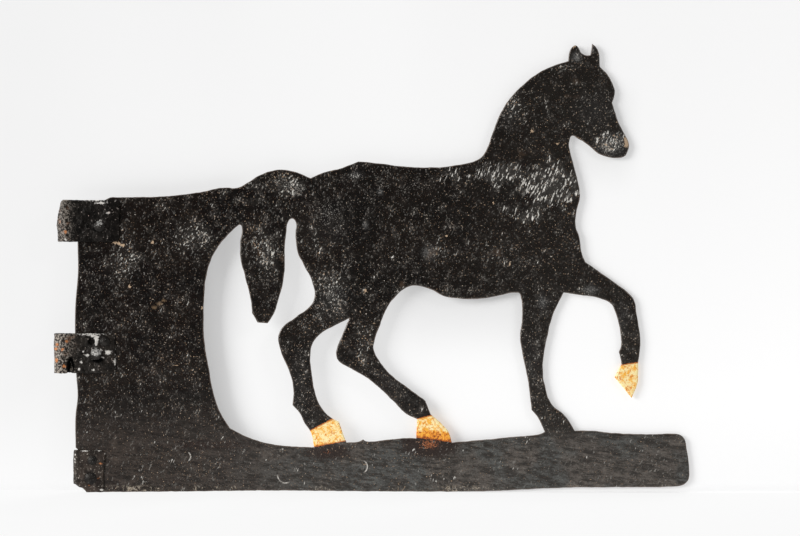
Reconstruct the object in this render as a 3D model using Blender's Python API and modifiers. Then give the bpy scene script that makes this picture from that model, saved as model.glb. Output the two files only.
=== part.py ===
"""Weather vane: a horse and its tail panel cut from one iron sheet, with strap eyes for a spindle.

The frame is metres with +Z up. The origin is on the spindle axis, level with the lowest edge.
+X runs from the spindle to the horse's head, and the front of the sheet faces -Y.
"""

import math

import bmesh
import bpy

MM = 0.001

# Driving dimensions, in millimetres
SHEET_THICKNESS = 3.0
STRAP_THICKNESS = 2.5
FIT_GAP = 0.3  # between pieces that lie on each other
EYE_RADIUS = 7.0 + STRAP_THICKNESS / 2  # of the middle of the strap's wall, for a bore of 14
EYE_FILLET = 4.0  # where a leaf turns outwards into its eye
SHANK_RADIUS = 2.5
HOLE_RADIUS = SHANK_RADIUS + FIT_GAP
OUTLINE_STEPS = 4  # straight edges between two outline points
EYE_STEPS = 20
FILLET_STEPS = 5
ROUND_STEPS = 20  # sides of a rivet or a hole

LEAF_OFFSET = SHEET_THICKNESS / 2 + FIT_GAP + STRAP_THICKNESS / 2  # middle of a leaf from the sheet's middle
LEAF_FACE = LEAF_OFFSET + STRAP_THICKNESS / 2
DEEP = 60.0  # a cutter that goes right through

SHARP_ANGLE = math.radians(35.0)
CORNER = True  # an outline point with no rounding

# Outer edge of the sheet, clockwise from the lower left, as (x, z) in millimetres
SPINDLE_EDGE = [
    (20.5, 0.5, CORNER), (13.5, 7.5, CORNER), (12.0, 20), (12.0, 34), (12.4, 42.5, CORNER),
    (10.2, 44.5, CORNER), (10.1, 76),
    (12.2, 96), (10.8, 118), (9.6, 160), (9.9, 186), (12.6, 222), (12.2, 248), (13, 290, CORNER),
]
PANEL_TOP = [
    (35, 290.6), (45, 294.6, CORNER), (72, 294.9), (99, 295.7), (132, 299.3), (161, 304.5), (169, 303.7),
]
TAIL_TOP = [(182, 309.2), (194, 316.8), (213, 322.3), (226, 321.2), (237, 317.3)]
CROUP_AND_BACK = [
    (245, 313.8, CORNER), (255, 318.2), (277, 324.3), (293, 330.6, CORNER), (309, 329), (342, 325.3),
    (362, 324.5), (391, 326.8), (414, 333.4),
]
CREST = [
    (420, 340.5), (427, 359), (434.7, 378), (443.9, 393), (461, 410), (475, 420.3), (489, 426.6),
    (502.8, 431, CORNER),
]
EARS = [
    (503.8, 439.5), (507.5, 445.5), (510.2, 446.4), (513, 444), (515.4, 439.2), (519, 436.8),
    (524.8, 436.7, CORNER), (525.8, 443), (526.5, 448.2, CORNER), (530.4, 445), (533.2, 439), (534.1, 432),
    (534.6, 425, CORNER),
]
FACE = [
    (543.4, 415), (548.2, 405), (549.3, 400.5), (548.3, 394.5), (546.4, 389, CORNER), (550.5, 376.5),
    (555, 365), (560.8, 354.5), (563.5, 347.5), (561.5, 340), (558.5, 335.5), (551, 333.9), (542.5, 335),
    (532, 339), (522.7, 347), (512.5, 353.3), (506.4, 356.3),
]
THROAT_AND_CHEST = [
    (503.9, 351.5), (503.7, 345.5), (505, 338), (511, 316), (514.1, 300), (514.3, 293.5), (511.6, 284),
    (510.1, 276), (510, 266), (513.6, 255.5), (515.8, 241), (519.5, 230, CORNER),
]
RAISED_LEG_FRONT = [
    (534.5, 219.7), (549, 209.6), (564.5, 197.4), (568.4, 192), (570.6, 179.5), (574.8, 150), (573.4, 136),
    (572.4, 128),
]
RAISED_HOOF = [
    (572.5, 118), (571.8, 109.5), (569.3, 101.5), (566, 94.3, CORNER), (548.9, 114.8, CORNER),
    (555.8, 127.5, CORNER),
]
RAISED_LEG_BACK = [
    (555, 134.5), (553.5, 140.2, CORNER), (555.4, 145.5), (555.6, 151), (553.3, 169), (549.3, 181),
    (544.8, 188.7), (536, 193.2), (514.5, 197), (498, 199.5, CORNER),
]
STANDING_LEG_FRONT = [
    (492.5, 188.5), (487, 175.8), (480.3, 148), (477.6, 131), (477.4, 119), (479.2, 107),
    (482.4, 94.2, CORNER), (488.5, 85.3), (495.3, 80.2), (501, 74.4), (509.5, 61.4, CORNER),
]
BAR_TOP = [(522, 61.5), (544.5, 59.4), (570, 57.9), (594.5, 57.8), (608, 58.1)]
BAR_END = [
    (615, 56.8), (619, 52.8), (620.8, 45), (623.6, 21.5), (623.1, 13.5), (620.3, 9), (614.5, 6.1), (608, 5.4),
]
BAR_UNDERSIDE = [(554.5, 5), (496, 4.4), (424, 1.1), (327, 0.7), (197, 1.5), (114, 0.5), (29, 0.2)]

# Windows in the sheet
BUTTOCK_AND_LEFT_HIND_LEG = [
    (226.2, 273.3), (229.8, 270.7), (230, 257), (232.3, 240), (238, 227.5), (245, 214.6), (249, 200.5),
    (249.1, 194.6), (245, 186.5), (230.5, 175), (216.7, 164.2), (213.1, 156.8), (213.2, 150), (215.5, 140),
    (221, 127.5), (225.3, 116), (227.9, 103), (227.3, 87, CORNER), (234.2, 79), (240, 67.4), (245, 60.7),
    (248.7, 44.8, CORNER),
]
BAR_BEHIND_HORSE = [(230, 45.5), (208, 47.6), (191.5, 51.6), (178, 56.8), (164.2, 64, CORNER)]
PANEL_CURVE = [
    (153, 83), (147.2, 103), (142.6, 128), (138.9, 150), (138.1, 173), (139, 201), (141, 217), (145.8, 233),
    (151.8, 244), (161, 255.4), (171.6, 265.8),
]
HANGING_TAIL = [
    (174.5, 267.2), (176.3, 264.5), (175, 250.5), (174.8, 236), (180.2, 213), (186.2, 187),
    (186.5, 179, CORNER), (192, 169.5, CORNER), (202, 168.7, CORNER), (206.3, 174.5), (214.4, 197),
    (217.6, 210.5), (219.4, 228), (219.2, 245), (220.8, 258.5), (222.7, 270.5),
]
BETWEEN_HIND_LEGS = [
    (283.8, 173.6, CORNER), (277.5, 158.5), (271.6, 144), (270.8, 136), (273.3, 131), (284.5, 124),
    (300, 115), (318, 100.4), (329.5, 89), (341, 77.8), (351.5, 73, CORNER), (350.7, 53.5, CORNER),
    (344, 54), (324, 52.6), (300.5, 50.8), (297.6, 52.8, CORNER), (294.8, 51), (281, 49.5, CORNER),
    (277.2, 59.5), (273.4, 70.4, CORNER), (266.5, 74), (256.9, 83), (250, 98), (247, 112.5), (245.3, 126),
    (244.9, 138), (247, 148.2), (255, 158), (269.5, 166.6),
]
BELLY = [
    (351.5, 206.3), (364.5, 203), (379, 195.7), (393, 193.4), (413, 193.3), (431.5, 195.9), (449, 199.4),
    (453.8, 198.7), (455.5, 194),
]
STANDING_LEG_BACK = [
    (456.3, 169), (454.7, 157), (455.6, 146), (461.4, 117), (464, 99.5), (466, 82.2, CORNER), (471.5, 75.7),
    (479.2, 60.2, CORNER),
]
BAR_UNDER_BELLY = [(476, 58.3), (441, 54.5), (414.5, 51.9), (386.6, 49.5, CORNER)]
RIGHT_HIND_LEG = [
    (383.3, 59), (378.9, 65.5), (365.2, 77.7, CORNER), (360, 91, CORNER), (342.5, 104.3), (325.5, 117.2),
    (312.8, 133), (308, 143.3), (308.6, 149), (315, 168.4), (323, 186.7), (329.5, 195), (337, 202),
    (343.5, 205.4),
]
OUTER_EDGE = (
    SPINDLE_EDGE + PANEL_TOP + TAIL_TOP + CROUP_AND_BACK + CREST + EARS + FACE + THROAT_AND_CHEST
    + RAISED_LEG_FRONT + RAISED_HOOF + RAISED_LEG_BACK + STANDING_LEG_FRONT
    + BAR_TOP + BAR_END + BAR_UNDERSIDE
)
TAIL_WINDOW = BUTTOCK_AND_LEFT_HIND_LEG + BAR_BEHIND_HORSE + PANEL_CURVE + HANGING_TAIL
BELLY_WINDOW = BELLY + STANDING_LEG_BACK + BAR_UNDER_BELLY + RIGHT_HIND_LEG

# Straps, cut by hand from stock about 41 wide. Each section is (z, x of the eye or of the fold,
# x of the leaf's end).
TOP_STRAP = [
    (250.4, 2.0, 52.5), (252.0, 2.0, 54.0), (268.5, 0.9, 54.0), (289.5, 0.9, 54.5), (291.8, 0.9, 53.0),
]
MIDDLE_STRAP = [(119.0, -1.5, 48.5), (121.0, -1.5, 50.5), (156.5, -1.8, 49.5), (158.6, -1.8, 46.5)]
BOTTOM_STRAP = [
    (0.2, 13.0, 38.5), (12.0, 12.2, 38.5), (22.0, 12.0, 38.7), (33.0, 12.1, 39.5), (40.0, 12.5, 40.5),
    (42.0, 13.0, 36.0),
]
# The top eye has lost its upper corner on the side away from the sheet.
TOP_STRAP_LOST_CORNER = [
    (-15.0, 268.5), (-8.4, 268.5), (-3.1, 290.0), (-1.0, 292.5), (-1.0, 300.0), (-15.0, 300.0),
]
# The middle eye's front wall has split upwards from its lower edge.
MIDDLE_STRAP_SPLIT = [(2.8, 110.0), (8.8, 110.0), (8.6, 120.0), (5.9, 134.5), (3.2, 120.0)]
SPLIT_DEPTH = 12.0
MIDDLE_STRAP_SPARE_HOLE = (26.8, 150.8)
SPARE_HOLE_RADIUS = 3.4
# The bottom strap has lost its lower corner at the fold.
BOTTOM_STRAP_LOST_CORNER = [
    (-10.0, -10.0), (25.0, -10.0), (21.5, 0.4), (20.0, 3.6), (14.0, 5.6), (10.5, 8.4), (-10.0, 8.4),
]

# Rivets, as (name, strap, x, z, head radius, head height)
RIVETS = [
    ("top_strap_rivet", "top_strap", 34.5, 265.5, 6.0, 2.6),
    ("middle_strap_rivet_upper", "middle_strap", 39.8, 150.6, 5.2, 2.8),
    ("middle_strap_rivet_lower", "middle_strap", 32.0, 138.0, 6.0, 2.9),
    ("bottom_strap_rivet_upper", "bottom_strap", 27.5, 32.5, 5.2, 2.4),
    ("bottom_strap_rivet_lower", "bottom_strap", 25.8, 14.0, 6.6, 2.5),
]
REAR_HEAD_SHARE = 0.85  # the peened rear head against the front one

# Finishes: colour, roughness, metallic
FINISHES = {
    "vane_plate": ((0.020, 0.017, 0.015), 0.5, 0.2),
    "top_strap": ((0.022, 0.018, 0.016), 0.55, 0.2),
    "middle_strap": ((0.035, 0.025, 0.020), 0.6, 0.2),
    "bottom_strap": ((0.030, 0.025, 0.022), 0.6, 0.2),
    "rivet": ((0.050, 0.045, 0.040), 0.5, 0.4),
}


def clear_scene():
    for item in list(bpy.data.objects):
        bpy.data.objects.remove(item)


def new_collection(name):
    made = bpy.data.collections.new(name)
    bpy.context.scene.collection.children.link(made)
    return made


def material(name):
    colour, roughness, metallic = FINISHES[name]
    made = bpy.data.materials.new(name + "_finish")
    made.use_nodes = True
    shader = made.node_tree.nodes["Principled BSDF"]
    shader.inputs["Base Color"].default_value = (*colour, 1.0)
    shader.inputs["Roughness"].default_value = roughness
    shader.inputs["Metallic"].default_value = metallic
    return made


def add_spline(curve, outline):
    """One closed Bezier outline: smooth through its plain points, sharp at its corners."""
    spline = curve.splines.new("BEZIER")
    spline.bezier_points.add(len(outline) - 1)
    spline.use_cyclic_u = True
    for point, (x, z, *corner) in zip(spline.bezier_points, outline):
        point.co = (x * MM, z * MM, 0.0)
        kind = "VECTOR" if corner else "AUTO"
        point.handle_left_type = kind
        point.handle_right_type = kind


def flat_solid(name, outlines, thickness, steps, middle_y=0.0):
    """A plate with these outlines, upright in the XZ plane, as a welded mesh object."""
    curve = bpy.data.curves.new(name, "CURVE")
    curve.dimensions = "2D"
    curve.fill_mode = "BOTH"
    curve.extrude = thickness * MM / 2
    curve.resolution_u = steps
    for outline in outlines:
        add_spline(curve, outline)
    drawn = bpy.data.objects.new(name + "_outline", curve)
    drawn.rotation_euler = (math.pi / 2, 0.0, 0.0)
    drawn.location = (0.0, middle_y * MM, 0.0)
    bpy.context.scene.collection.objects.link(drawn)
    bpy.context.view_layer.update()
    graph = bpy.context.evaluated_depsgraph_get()
    mesh = bpy.data.meshes.new_from_object(drawn.evaluated_get(graph))
    made = bpy.data.objects.new(name, mesh)
    made.matrix_world = drawn.matrix_world
    bpy.data.objects.remove(drawn)
    weld(mesh)
    return made


def weld(mesh):
    """Joins a curve's loose caps to its sides."""
    work = bmesh.new()
    work.from_mesh(mesh)
    bmesh.ops.remove_doubles(work, verts=work.verts, dist=0.01 * MM)
    bmesh.ops.recalc_face_normals(work, faces=work.faces)
    work.to_mesh(mesh)
    work.free()


def sharp_solid(name, points, y_from, y_to):
    """An upright slab whose outline has only corners."""
    outline = [(x, z, CORNER) for x, z in points]
    return flat_solid(name, [outline], y_to - y_from, 1, (y_from + y_to) / 2)


def make_cutter(item, cutters):
    cutters.objects.link(item)
    item.hide_render = True
    item.display_type = "WIRE"
    return item


def cut(item, cutter):
    boolean = item.modifiers.new("cut_" + cutter.name, "BOOLEAN")
    boolean.operation = "DIFFERENCE"
    boolean.object = cutter


def hole_cutter(name, x, z, radius, y_from, y_to, cutters):
    bpy.ops.mesh.primitive_cylinder_add(
        vertices=ROUND_STEPS,
        radius=radius * MM,
        depth=(y_to - y_from) * MM,
        location=(x * MM, (y_from + y_to) / 2 * MM, z * MM),
        rotation=(math.pi / 2, 0.0, 0.0),
    )
    made = bpy.context.object
    made.name = name
    for owner in list(made.users_collection):
        owner.objects.unlink(made)
    return make_cutter(made, cutters)


def arc(centre, radius, start, end, steps):
    """Points on an arc from the start angle to the end angle, in degrees, both ends included."""
    points = []
    for i in range(steps + 1):
        angle = math.radians(start + (end - start) * i / steps)
        points.append((centre[0] + radius * math.cos(angle), centre[1] + radius * math.sin(angle)))
    return points


def mirrored_path(front):
    """The whole middle line of a strap, from its front half at -Y and that half's mirror image."""
    return front + [(x, -y) for x, y in reversed(front[:-1])]


def eye_section(eye_x, leaf_end):
    """Middle line of a strap seen from above: leaf, fillet, eye, fillet, leaf."""
    rise = LEAF_OFFSET + EYE_FILLET
    reach = math.sqrt((EYE_RADIUS + EYE_FILLET) ** 2 - rise**2)
    meeting = math.degrees(math.atan2(rise, reach))
    fillet = arc((eye_x + reach, -rise), EYE_FILLET, 90.0, 180.0 - meeting, FILLET_STEPS)
    eye = arc((eye_x, 0.0), EYE_RADIUS, -meeting, -180.0, EYE_STEPS)
    return mirrored_path([(leaf_end, -LEAF_OFFSET)] + fillet + eye[1:])


def fold_section(fold_x, leaf_end):
    """Middle line of a strap folded tight round the sheet's edge."""
    fold = arc((fold_x, 0.0), LEAF_OFFSET, -90.0, -180.0, FILLET_STEPS)
    return mirrored_path([(leaf_end, -LEAF_OFFSET)] + fold)


def strap(name, sections):
    """A ribbon through (z, path) sections, thickened into a strap."""
    rows = [[(x * MM, y * MM, z * MM) for x, y in path] for z, path in sections]
    across = len(rows[0])
    points = [point for row in rows for point in row]
    faces = []
    for r in range(len(rows) - 1):
        for i in range(across - 1):
            low, high = r * across + i, (r + 1) * across + i
            faces.append((low, low + 1, high + 1, high))
    mesh = bpy.data.meshes.new(name)
    mesh.from_pydata(points, [], faces)
    made = bpy.data.objects.new(name, mesh)
    shell = made.modifiers.new("thickness", "SOLIDIFY")
    shell.thickness = STRAP_THICKNESS * MM
    shell.offset = 0.0
    shell.use_even_offset = True
    return made


def dome(radius, height, base, facing):
    """Profile of a rivet head from its crown out to its rim, standing on base along +1 or -1."""
    ball = (radius**2 + height**2) / (2 * height)
    rim = math.asin(radius / ball)
    steps = ROUND_STEPS // 3
    points = []
    for i in range(steps + 1):
        angle = rim * i / steps
        points.append((ball * math.sin(angle), base + facing * (height - ball + ball * math.cos(angle))))
    return points


def rivet(name, x, z, head_radius, head_height):
    """A set rivet: round front head, shank and smaller peened head, turned about its own axis."""
    seat = LEAF_FACE + FIT_GAP
    front = dome(head_radius, head_height, seat, 1)
    rear = dome(head_radius * REAR_HEAD_SHARE, head_height * REAR_HEAD_SHARE, -seat, -1)
    profile = front + [(SHANK_RADIUS, seat), (SHANK_RADIUS, -seat)] + rear[::-1]
    mesh = bpy.data.meshes.new(name)
    points = [(r * MM, 0.0, h * MM) for r, h in profile]
    mesh.from_pydata(points, [(i, i + 1) for i in range(len(points) - 1)], [])
    made = bpy.data.objects.new(name, mesh)
    made.location = (x * MM, 0.0, z * MM)
    made.rotation_euler = (math.pi / 2, 0.0, 0.0)
    turn = made.modifiers.new("turn", "SCREW")
    turn.steps = ROUND_STEPS
    turn.render_steps = ROUND_STEPS
    turn.use_merge_vertices = True
    turn.merge_threshold = 0.01 * MM
    return made


def finish(item, look, vane):
    vane.objects.link(item)
    item.data.materials.clear()
    item.data.materials.append(look)
    item.data.shade_smooth()
    item.data.set_sharp_from_angle(angle=SHARP_ANGLE)


def main():
    clear_scene()
    vane = new_collection("weather_vane")
    cutters = new_collection("cutters")

    windows = [TAIL_WINDOW, BETWEEN_HIND_LEGS, BELLY_WINDOW]
    sheet = flat_solid("vane_plate", [OUTER_EDGE] + windows, SHEET_THICKNESS, OUTLINE_STEPS)
    straps = {
        "top_strap": strap("top_strap", [(z, eye_section(*eye)) for z, *eye in TOP_STRAP]),
        "middle_strap": strap("middle_strap", [(z, eye_section(*eye)) for z, *eye in MIDDLE_STRAP]),
        "bottom_strap": strap("bottom_strap", [(z, fold_section(*fold)) for z, *fold in BOTTOM_STRAP]),
    }
    looks = {name: material(name) for name in FINISHES}
    finish(sheet, looks["vane_plate"], vane)
    for name, item in straps.items():
        finish(item, looks[name], vane)

    for name, owner, x, z, head_radius, head_height in RIVETS:
        finish(rivet(name, x, z, head_radius, head_height), looks["rivet"], vane)
        hole = hole_cutter(name + "_hole", x, z, HOLE_RADIUS, -DEEP / 2, DEEP / 2, cutters)
        cut(sheet, hole)
        cut(straps[owner], hole)

    front_of_sheet = -SHEET_THICKNESS / 2
    split = sharp_solid("split", MIDDLE_STRAP_SPLIT, -SPLIT_DEPTH, front_of_sheet)
    cut(straps["middle_strap"], make_cutter(split, cutters))
    spare_x, spare_z = MIDDLE_STRAP_SPARE_HOLE
    spare = hole_cutter("spare_hole", spare_x, spare_z, SPARE_HOLE_RADIUS, -DEEP / 2, front_of_sheet, cutters)
    cut(straps["middle_strap"], spare)
    for owner, outline in (("top_strap", TOP_STRAP_LOST_CORNER), ("bottom_strap", BOTTOM_STRAP_LOST_CORNER)):
        corner = sharp_solid(owner + "_lost_corner", outline, -DEEP / 2, DEEP / 2)
        cut(straps[owner], make_cutter(corner, cutters))


main()
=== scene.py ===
"""Looks of the weather vane: a walking horse cut from sheet iron under old black paint, with three straps
riveted to its left edge, standing in front of a white board.

The sheet, the straps and the rivets are new pieces in the places of the CAD nodes. Sizes are in millimetres
until they reach a mesh, unless a comment says metres. Places are (x, z) from the spindle axis and the ground.
"""

import math

import bpy
import numpy as np
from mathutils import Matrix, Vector, noise
from mathutils.geometry import delaunay_2d_cdt
from mathutils.kdtree import KDTree


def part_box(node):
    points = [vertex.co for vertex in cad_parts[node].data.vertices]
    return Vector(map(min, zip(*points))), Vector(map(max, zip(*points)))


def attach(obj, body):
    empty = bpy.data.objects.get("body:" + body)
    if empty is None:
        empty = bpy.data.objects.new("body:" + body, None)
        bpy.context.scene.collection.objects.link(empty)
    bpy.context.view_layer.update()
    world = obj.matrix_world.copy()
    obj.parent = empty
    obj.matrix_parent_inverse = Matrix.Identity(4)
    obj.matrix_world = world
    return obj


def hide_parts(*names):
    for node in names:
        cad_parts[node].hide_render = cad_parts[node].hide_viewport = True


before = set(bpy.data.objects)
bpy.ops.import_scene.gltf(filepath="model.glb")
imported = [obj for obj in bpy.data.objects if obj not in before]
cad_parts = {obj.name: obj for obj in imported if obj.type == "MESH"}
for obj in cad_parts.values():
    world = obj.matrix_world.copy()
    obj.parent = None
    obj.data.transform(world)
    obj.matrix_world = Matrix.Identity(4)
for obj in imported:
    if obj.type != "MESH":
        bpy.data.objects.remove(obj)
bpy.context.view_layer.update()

MM = 0.001

# The sheet's mesh
SHEET_HALF = 1.5
EDGE_ROUND = 1.0  # radius of the paint over the cut edge
EDGE_SPACING = 1.7
RINGS = (0.0, 0.4, 1.1)  # rows of points that follow the outline, by distance from it
GRID_START = 1.9
FINE_SPACING = 0.94
BACK_SPACING = 2.9
CORNER_TURN = math.radians(25.0)
SMALLEST_LOOP = 8.0  # smaller loops are rivet holes, which the straps hide
STRAP_ZONE = (58.0, 100.0)  # the sheet is flat left of the first and warped right of the second
BACK_SHIFT = 37.0  # how far the front's areas are moved for the back, so that the two sides differ
NO_HOOF = 50.0  # depth that stands for far outside a hoof

# Scars of the bar: x, z and where their slopes start and end
BLISTER = (121.0, 35.5, 2.0, 6.5)
PIT = (108.5, 46.0, 1.0, 3.5)
GROOVE = (221.5, 18.0)  # middle of a bent groove
GROOVE_RADIUS = 9.0
GROOVE_WIDTH = 1.6

# Soft areas on the sheet's front: x, z, half width, half height, strength
PEBBLED = [
    (130, 256, 34, 24, 0.9), (226, 306, 26, 17, 1.0), (190, 306, 26, 12, 0.6), (268, 200, 30, 36, 0.8),
    (202, 236, 20, 42, 0.7), (290, 316, 14, 9, 0.8), (445, 385, 22, 34, 0.6), (60, 225, 45, 32, 0.5),
    (60, 80, 42, 26, 0.4), (545, 347, 19, 14, 0.9), (336, 205, 26, 14, 0.5), (500, 425, 30, 14, 0.4),
    (370, 190, 60, 12, 0.5), (300, 140, 30, 40, 0.4),
]
RIPPLED = [
    (484, 306, 42, 32, 1.1), (462, 277, 26, 11, 0.7), (438, 318, 42, 16, 0.85), (386, 318, 18, 12, 0.6),
    (547, 349, 21, 15, 0.8),
]
WORN_GREY = [
    (545, 347, 26, 18, 0.8), (530, 380, 40, 34, 0.3), (262, 265, 40, 40, 0.2), (511, 435, 8, 8, 1.0),
    (527, 443, 4, 7, 0.8), (484, 306, 32, 26, 0.2), (71, 235, 12, 8, 0.4), (524, 202, 14, 8, 0.8),
    (477, 190, 10, 12, 0.7), (364, 239, 13, 11, 0.8), (315, 300, 5, 5, 0.9), (300, 267, 5, 7, 0.8),
    (268, 190, 30, 34, 0.3), (556, 170, 14, 40, 0.35), (232, 110, 18, 60, 0.25), (330, 110, 30, 40, 0.25),
    (465, 130, 22, 60, 0.25), (445, 385, 14, 34, 0.35), (290, 317, 11, 7, 0.6),
]
BROWN = [
    (366, 238, 13, 10, 0.8), (457, 337, 18, 12, 0.7), (432, 240, 16, 12, 0.6),
    (505, 396, 16, 7, 0.7), (511, 411, 10, 8, 0.6),
    (194, 239, 7, 6, 0.9), (217, 233, 6, 9, 0.9), (336, 208, 8, 6, 0.9), (64, 205, 8, 6, 0.6),
    (250, 280, 40, 20, 0.35), (420, 270, 50, 25, 0.35), (80, 130, 50, 30, 0.35), (390, 215, 40, 16, 0.35),
    (40, 40, 60, 30, 0.4),
]
CHIPS = [
    (50.0, 249.5, 3.0, 1.7, 1.5), (53.5, 248.6, 2.2, 2.2, 1.4), (57.5, 246.8, 3.2, 1.7, 1.4),
    (87, 249.5, 2.6, 2.4, 1.0), (427.7, 289, 1.6, 1.5, 1.2), (300, 201, 2.6, 2.6, 0.9),
    (467, 361, 2.4, 2.4, 1.1), (492, 348, 1.5, 1.5, 1.1), (444, 228, 1.4, 3.0, 1.0),
    (561, 350, 3.6, 8.0, 1.3), (508.5, 446.5, 3.6, 2.6, 1.2), (137, 184, 1.6, 2.4, 1.0),
    (64.5, 205.5, 2.0, 2.0, 1.0), (381, 256, 2.0, 1.6, 0.9),
]
# Scuffs and painted sheen: the small areas are scuffs, the large ones lighten the glossy panel, rump, back and
# chest
SCUFFS_AND_SHEEN = [
    (61, 241, 4, 2.0, 0.8), (67, 237.5, 5, 2.6, 1.1), (73, 234, 5, 2.2, 1.0), (79, 218, 2.6, 4.0, 0.9),
    (84, 251, 3, 2.8, 1.0), (30, 231, 4, 1.6, 0.6), (226, 306, 26, 15, 0.75), (130, 257, 26, 15, 0.45),
    (190, 307, 22, 8, 0.5), (484, 309, 30, 22, 0.6), (462, 279, 20, 8, 0.6),
    (434, 319, 26, 11, 0.5), (386, 318, 13, 9, 0.5),
    (545, 347, 20, 14, 0.75), (262, 280, 36, 32, 0.65), (290, 316, 12, 7, 0.7), (445, 400, 20, 40, 0.6),
    (100, 290, 60, 14, 0.45), (445, 203, 14, 10, 0.4), (330, 205, 20, 10, 0.4), (202, 240, 18, 44, 0.5),
    (350, 306, 60, 18, 0.5), (400, 300, 60, 14, 0.4),
]
STAINS = [(364, 48, 34, 17, 1.4), (262, 40, 28, 10, 1.1), (150, 47, 60, 8, 0.4)]
SMEARS = [(89, 184.5, 5, 3, 1.0), (94, 188.5, 5, 3.4, 1.0), (98.5, 191.5, 4, 2.6, 1.0)]

# Thin bright arcs on the bar, a painted highlight on the blister's right side and two curved scratches: x, z,
# radius, and the turn from +X towards +Z to the middle of the arc
BRIGHT_ARCS = [(120.5, 35.5, 4.8, 0.0), (220, 17, 7.8, -2.1), (295.5, 25.5, 6.4, 0.0)]

# The painted hooves: corners, anticlockwise, of areas that reach past the outline
HOOVES = [
    [(247.0, 44.6), (290.0, 52.8), (290.0, 86.0), (240.0, 59.7)],
    [(346.0, 55.0), (386.5, 49.8), (386.5, 82.7), (346.0, 72.2)],
    [(540.0, 85.0), (585.0, 85.0), (585.0, 131.9), (540.0, 125.3)],
]


def bumpy(x, y, z, period):
    """Smooth noise between about -1 and 1 whose bumps are period apart."""
    return 1.6 * noise.noise(Vector((x / period, y / period, z / period)))


def ramp(value, start, end):
    """0 before start, 1 after end and smooth in between."""
    t = min(max((value - start) / (end - start), 0.0), 1.0)
    return t * t * (3.0 - 2.0 * t)


def cone(x, z, areas):
    """The highest area at a place. Each is as high as its strength at its middle and falls evenly to nothing."""
    best = 0.0
    for cx, cz, rx, rz, strength in areas:
        if abs(x - cx) < rx and abs(z - cz) < rz:
            best = max(best, strength * (1.0 - math.hypot((x - cx) / rx, (z - cz) / rz)))
    return best


# --- the sheet's outline -----------------------------------------------------------------------------------


def front_loops(node):
    """The closed outlines of a sheet's front face, each a list of (x, z) with the metal on its left."""
    sides = set()
    for face in node.data.polygons:
        if face.normal.y < -0.9:
            corners = []
            for v in face.vertices:
                co = node.data.vertices[v].co
                corners.append((round(co.x / MM, 3), round(co.z / MM, 3)))
            sides.update(zip(corners, corners[1:] + corners[:1]))
    following = {a: b for a, b in sides if (b, a) not in sides}
    loops = []
    while following:
        start = min(following)
        loop = [start]
        point = following.pop(start)
        while point != start:
            loop.append(point)
            point = following.pop(point)
        if np.ptp(np.array(loop), axis=0).max() > SMALLEST_LOOP:
            loops.append(loop)
    return sorted(loops)


def smooth_loop(loop):
    """Evenly spaced points on a smooth curve through a loop, which keeps the loop's sharp corners."""
    points = np.array(loop)
    along = np.roll(points, -1, axis=0) - points
    length = np.linalg.norm(along, axis=1)
    heading = along / length[:, None]
    came = np.roll(heading, 1, axis=0)
    turn = np.arccos(np.clip((heading * came).sum(axis=1), -1.0, 1.0))
    mean = heading + came
    mean /= np.linalg.norm(mean, axis=1)[:, None]
    sharp = (turn > CORNER_TURN)[:, None]
    leaving = np.where(sharp, heading, mean)
    arriving = np.roll(np.where(sharp, came, mean), -1, axis=0)
    out = []
    for i, size in enumerate(length):
        count = max(1, round(size / EDGE_SPACING))
        a = points[i]
        b = points[(i + 1) % len(points)]
        for k in range(count):
            t = k / count
            out.append(
                a * (2 * t**3 - 3 * t**2 + 1)
                + leaving[i] * size * (t**3 - 2 * t**2 + t)
                + b * (3 * t**2 - 2 * t**3)
                + arriving[i] * size * (t**3 - t**2)
            )
    return np.array(out)


def inward(loop):
    """Unit vectors into the metal at each point of a loop."""
    along = np.roll(loop, -1, axis=0) - np.roll(loop, 1, axis=0)
    along /= np.linalg.norm(along, axis=1)[:, None]
    return np.stack([-along[:, 1], along[:, 0]], axis=1)


def hand_cut(loop):
    """The loop with the small waves of a hand-cut edge, but true where the straps hold it."""
    moved = loop.copy()
    for i, ((x, z), (nx, nz)) in enumerate(zip(loop, inward(loop))):
        wave = 0.22 * bumpy(x, 0.0, z, 9.0) + 0.14 * bumpy(x, 40.0, z, 4.0)
        wave *= ramp(x, 14.0, 22.0)
        moved[i] = (x + nx * wave, max(z + nz * wave, 0.0))
    return moved


class Region:
    """The inside of a set of loops."""

    def __init__(self, loops):
        self.start = np.concatenate(loops)
        self.end = np.concatenate([np.roll(loop, -1, axis=0) for loop in loops])
        dense = []
        for a, b in zip(self.start, self.end):
            for k in range(4):
                dense.append(a + (b - a) * k / 4)
        self.tree = KDTree(len(dense))
        for i, (x, z) in enumerate(dense):
            self.tree.insert((x, z, 0.0), i)
        self.tree.balance()

    def crossings(self, z):
        """Where the loops cross a height, in order."""
        below = self.start[:, 1] <= z
        crossing = below != (self.end[:, 1] <= z)
        a = self.start[crossing]
        b = self.end[crossing]
        return np.sort(a[:, 0] + (z - a[:, 1]) * (b[:, 0] - a[:, 0]) / (b[:, 1] - a[:, 1]))

    def inside(self, xs, z):
        """Which of the xs at one height are inside."""
        return np.searchsorted(self.crossings(z), xs) % 2 == 1

    def distance(self, x, z):
        """How far a point is from the outline."""
        return self.tree.find((x, z, 0.0))[2]


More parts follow.
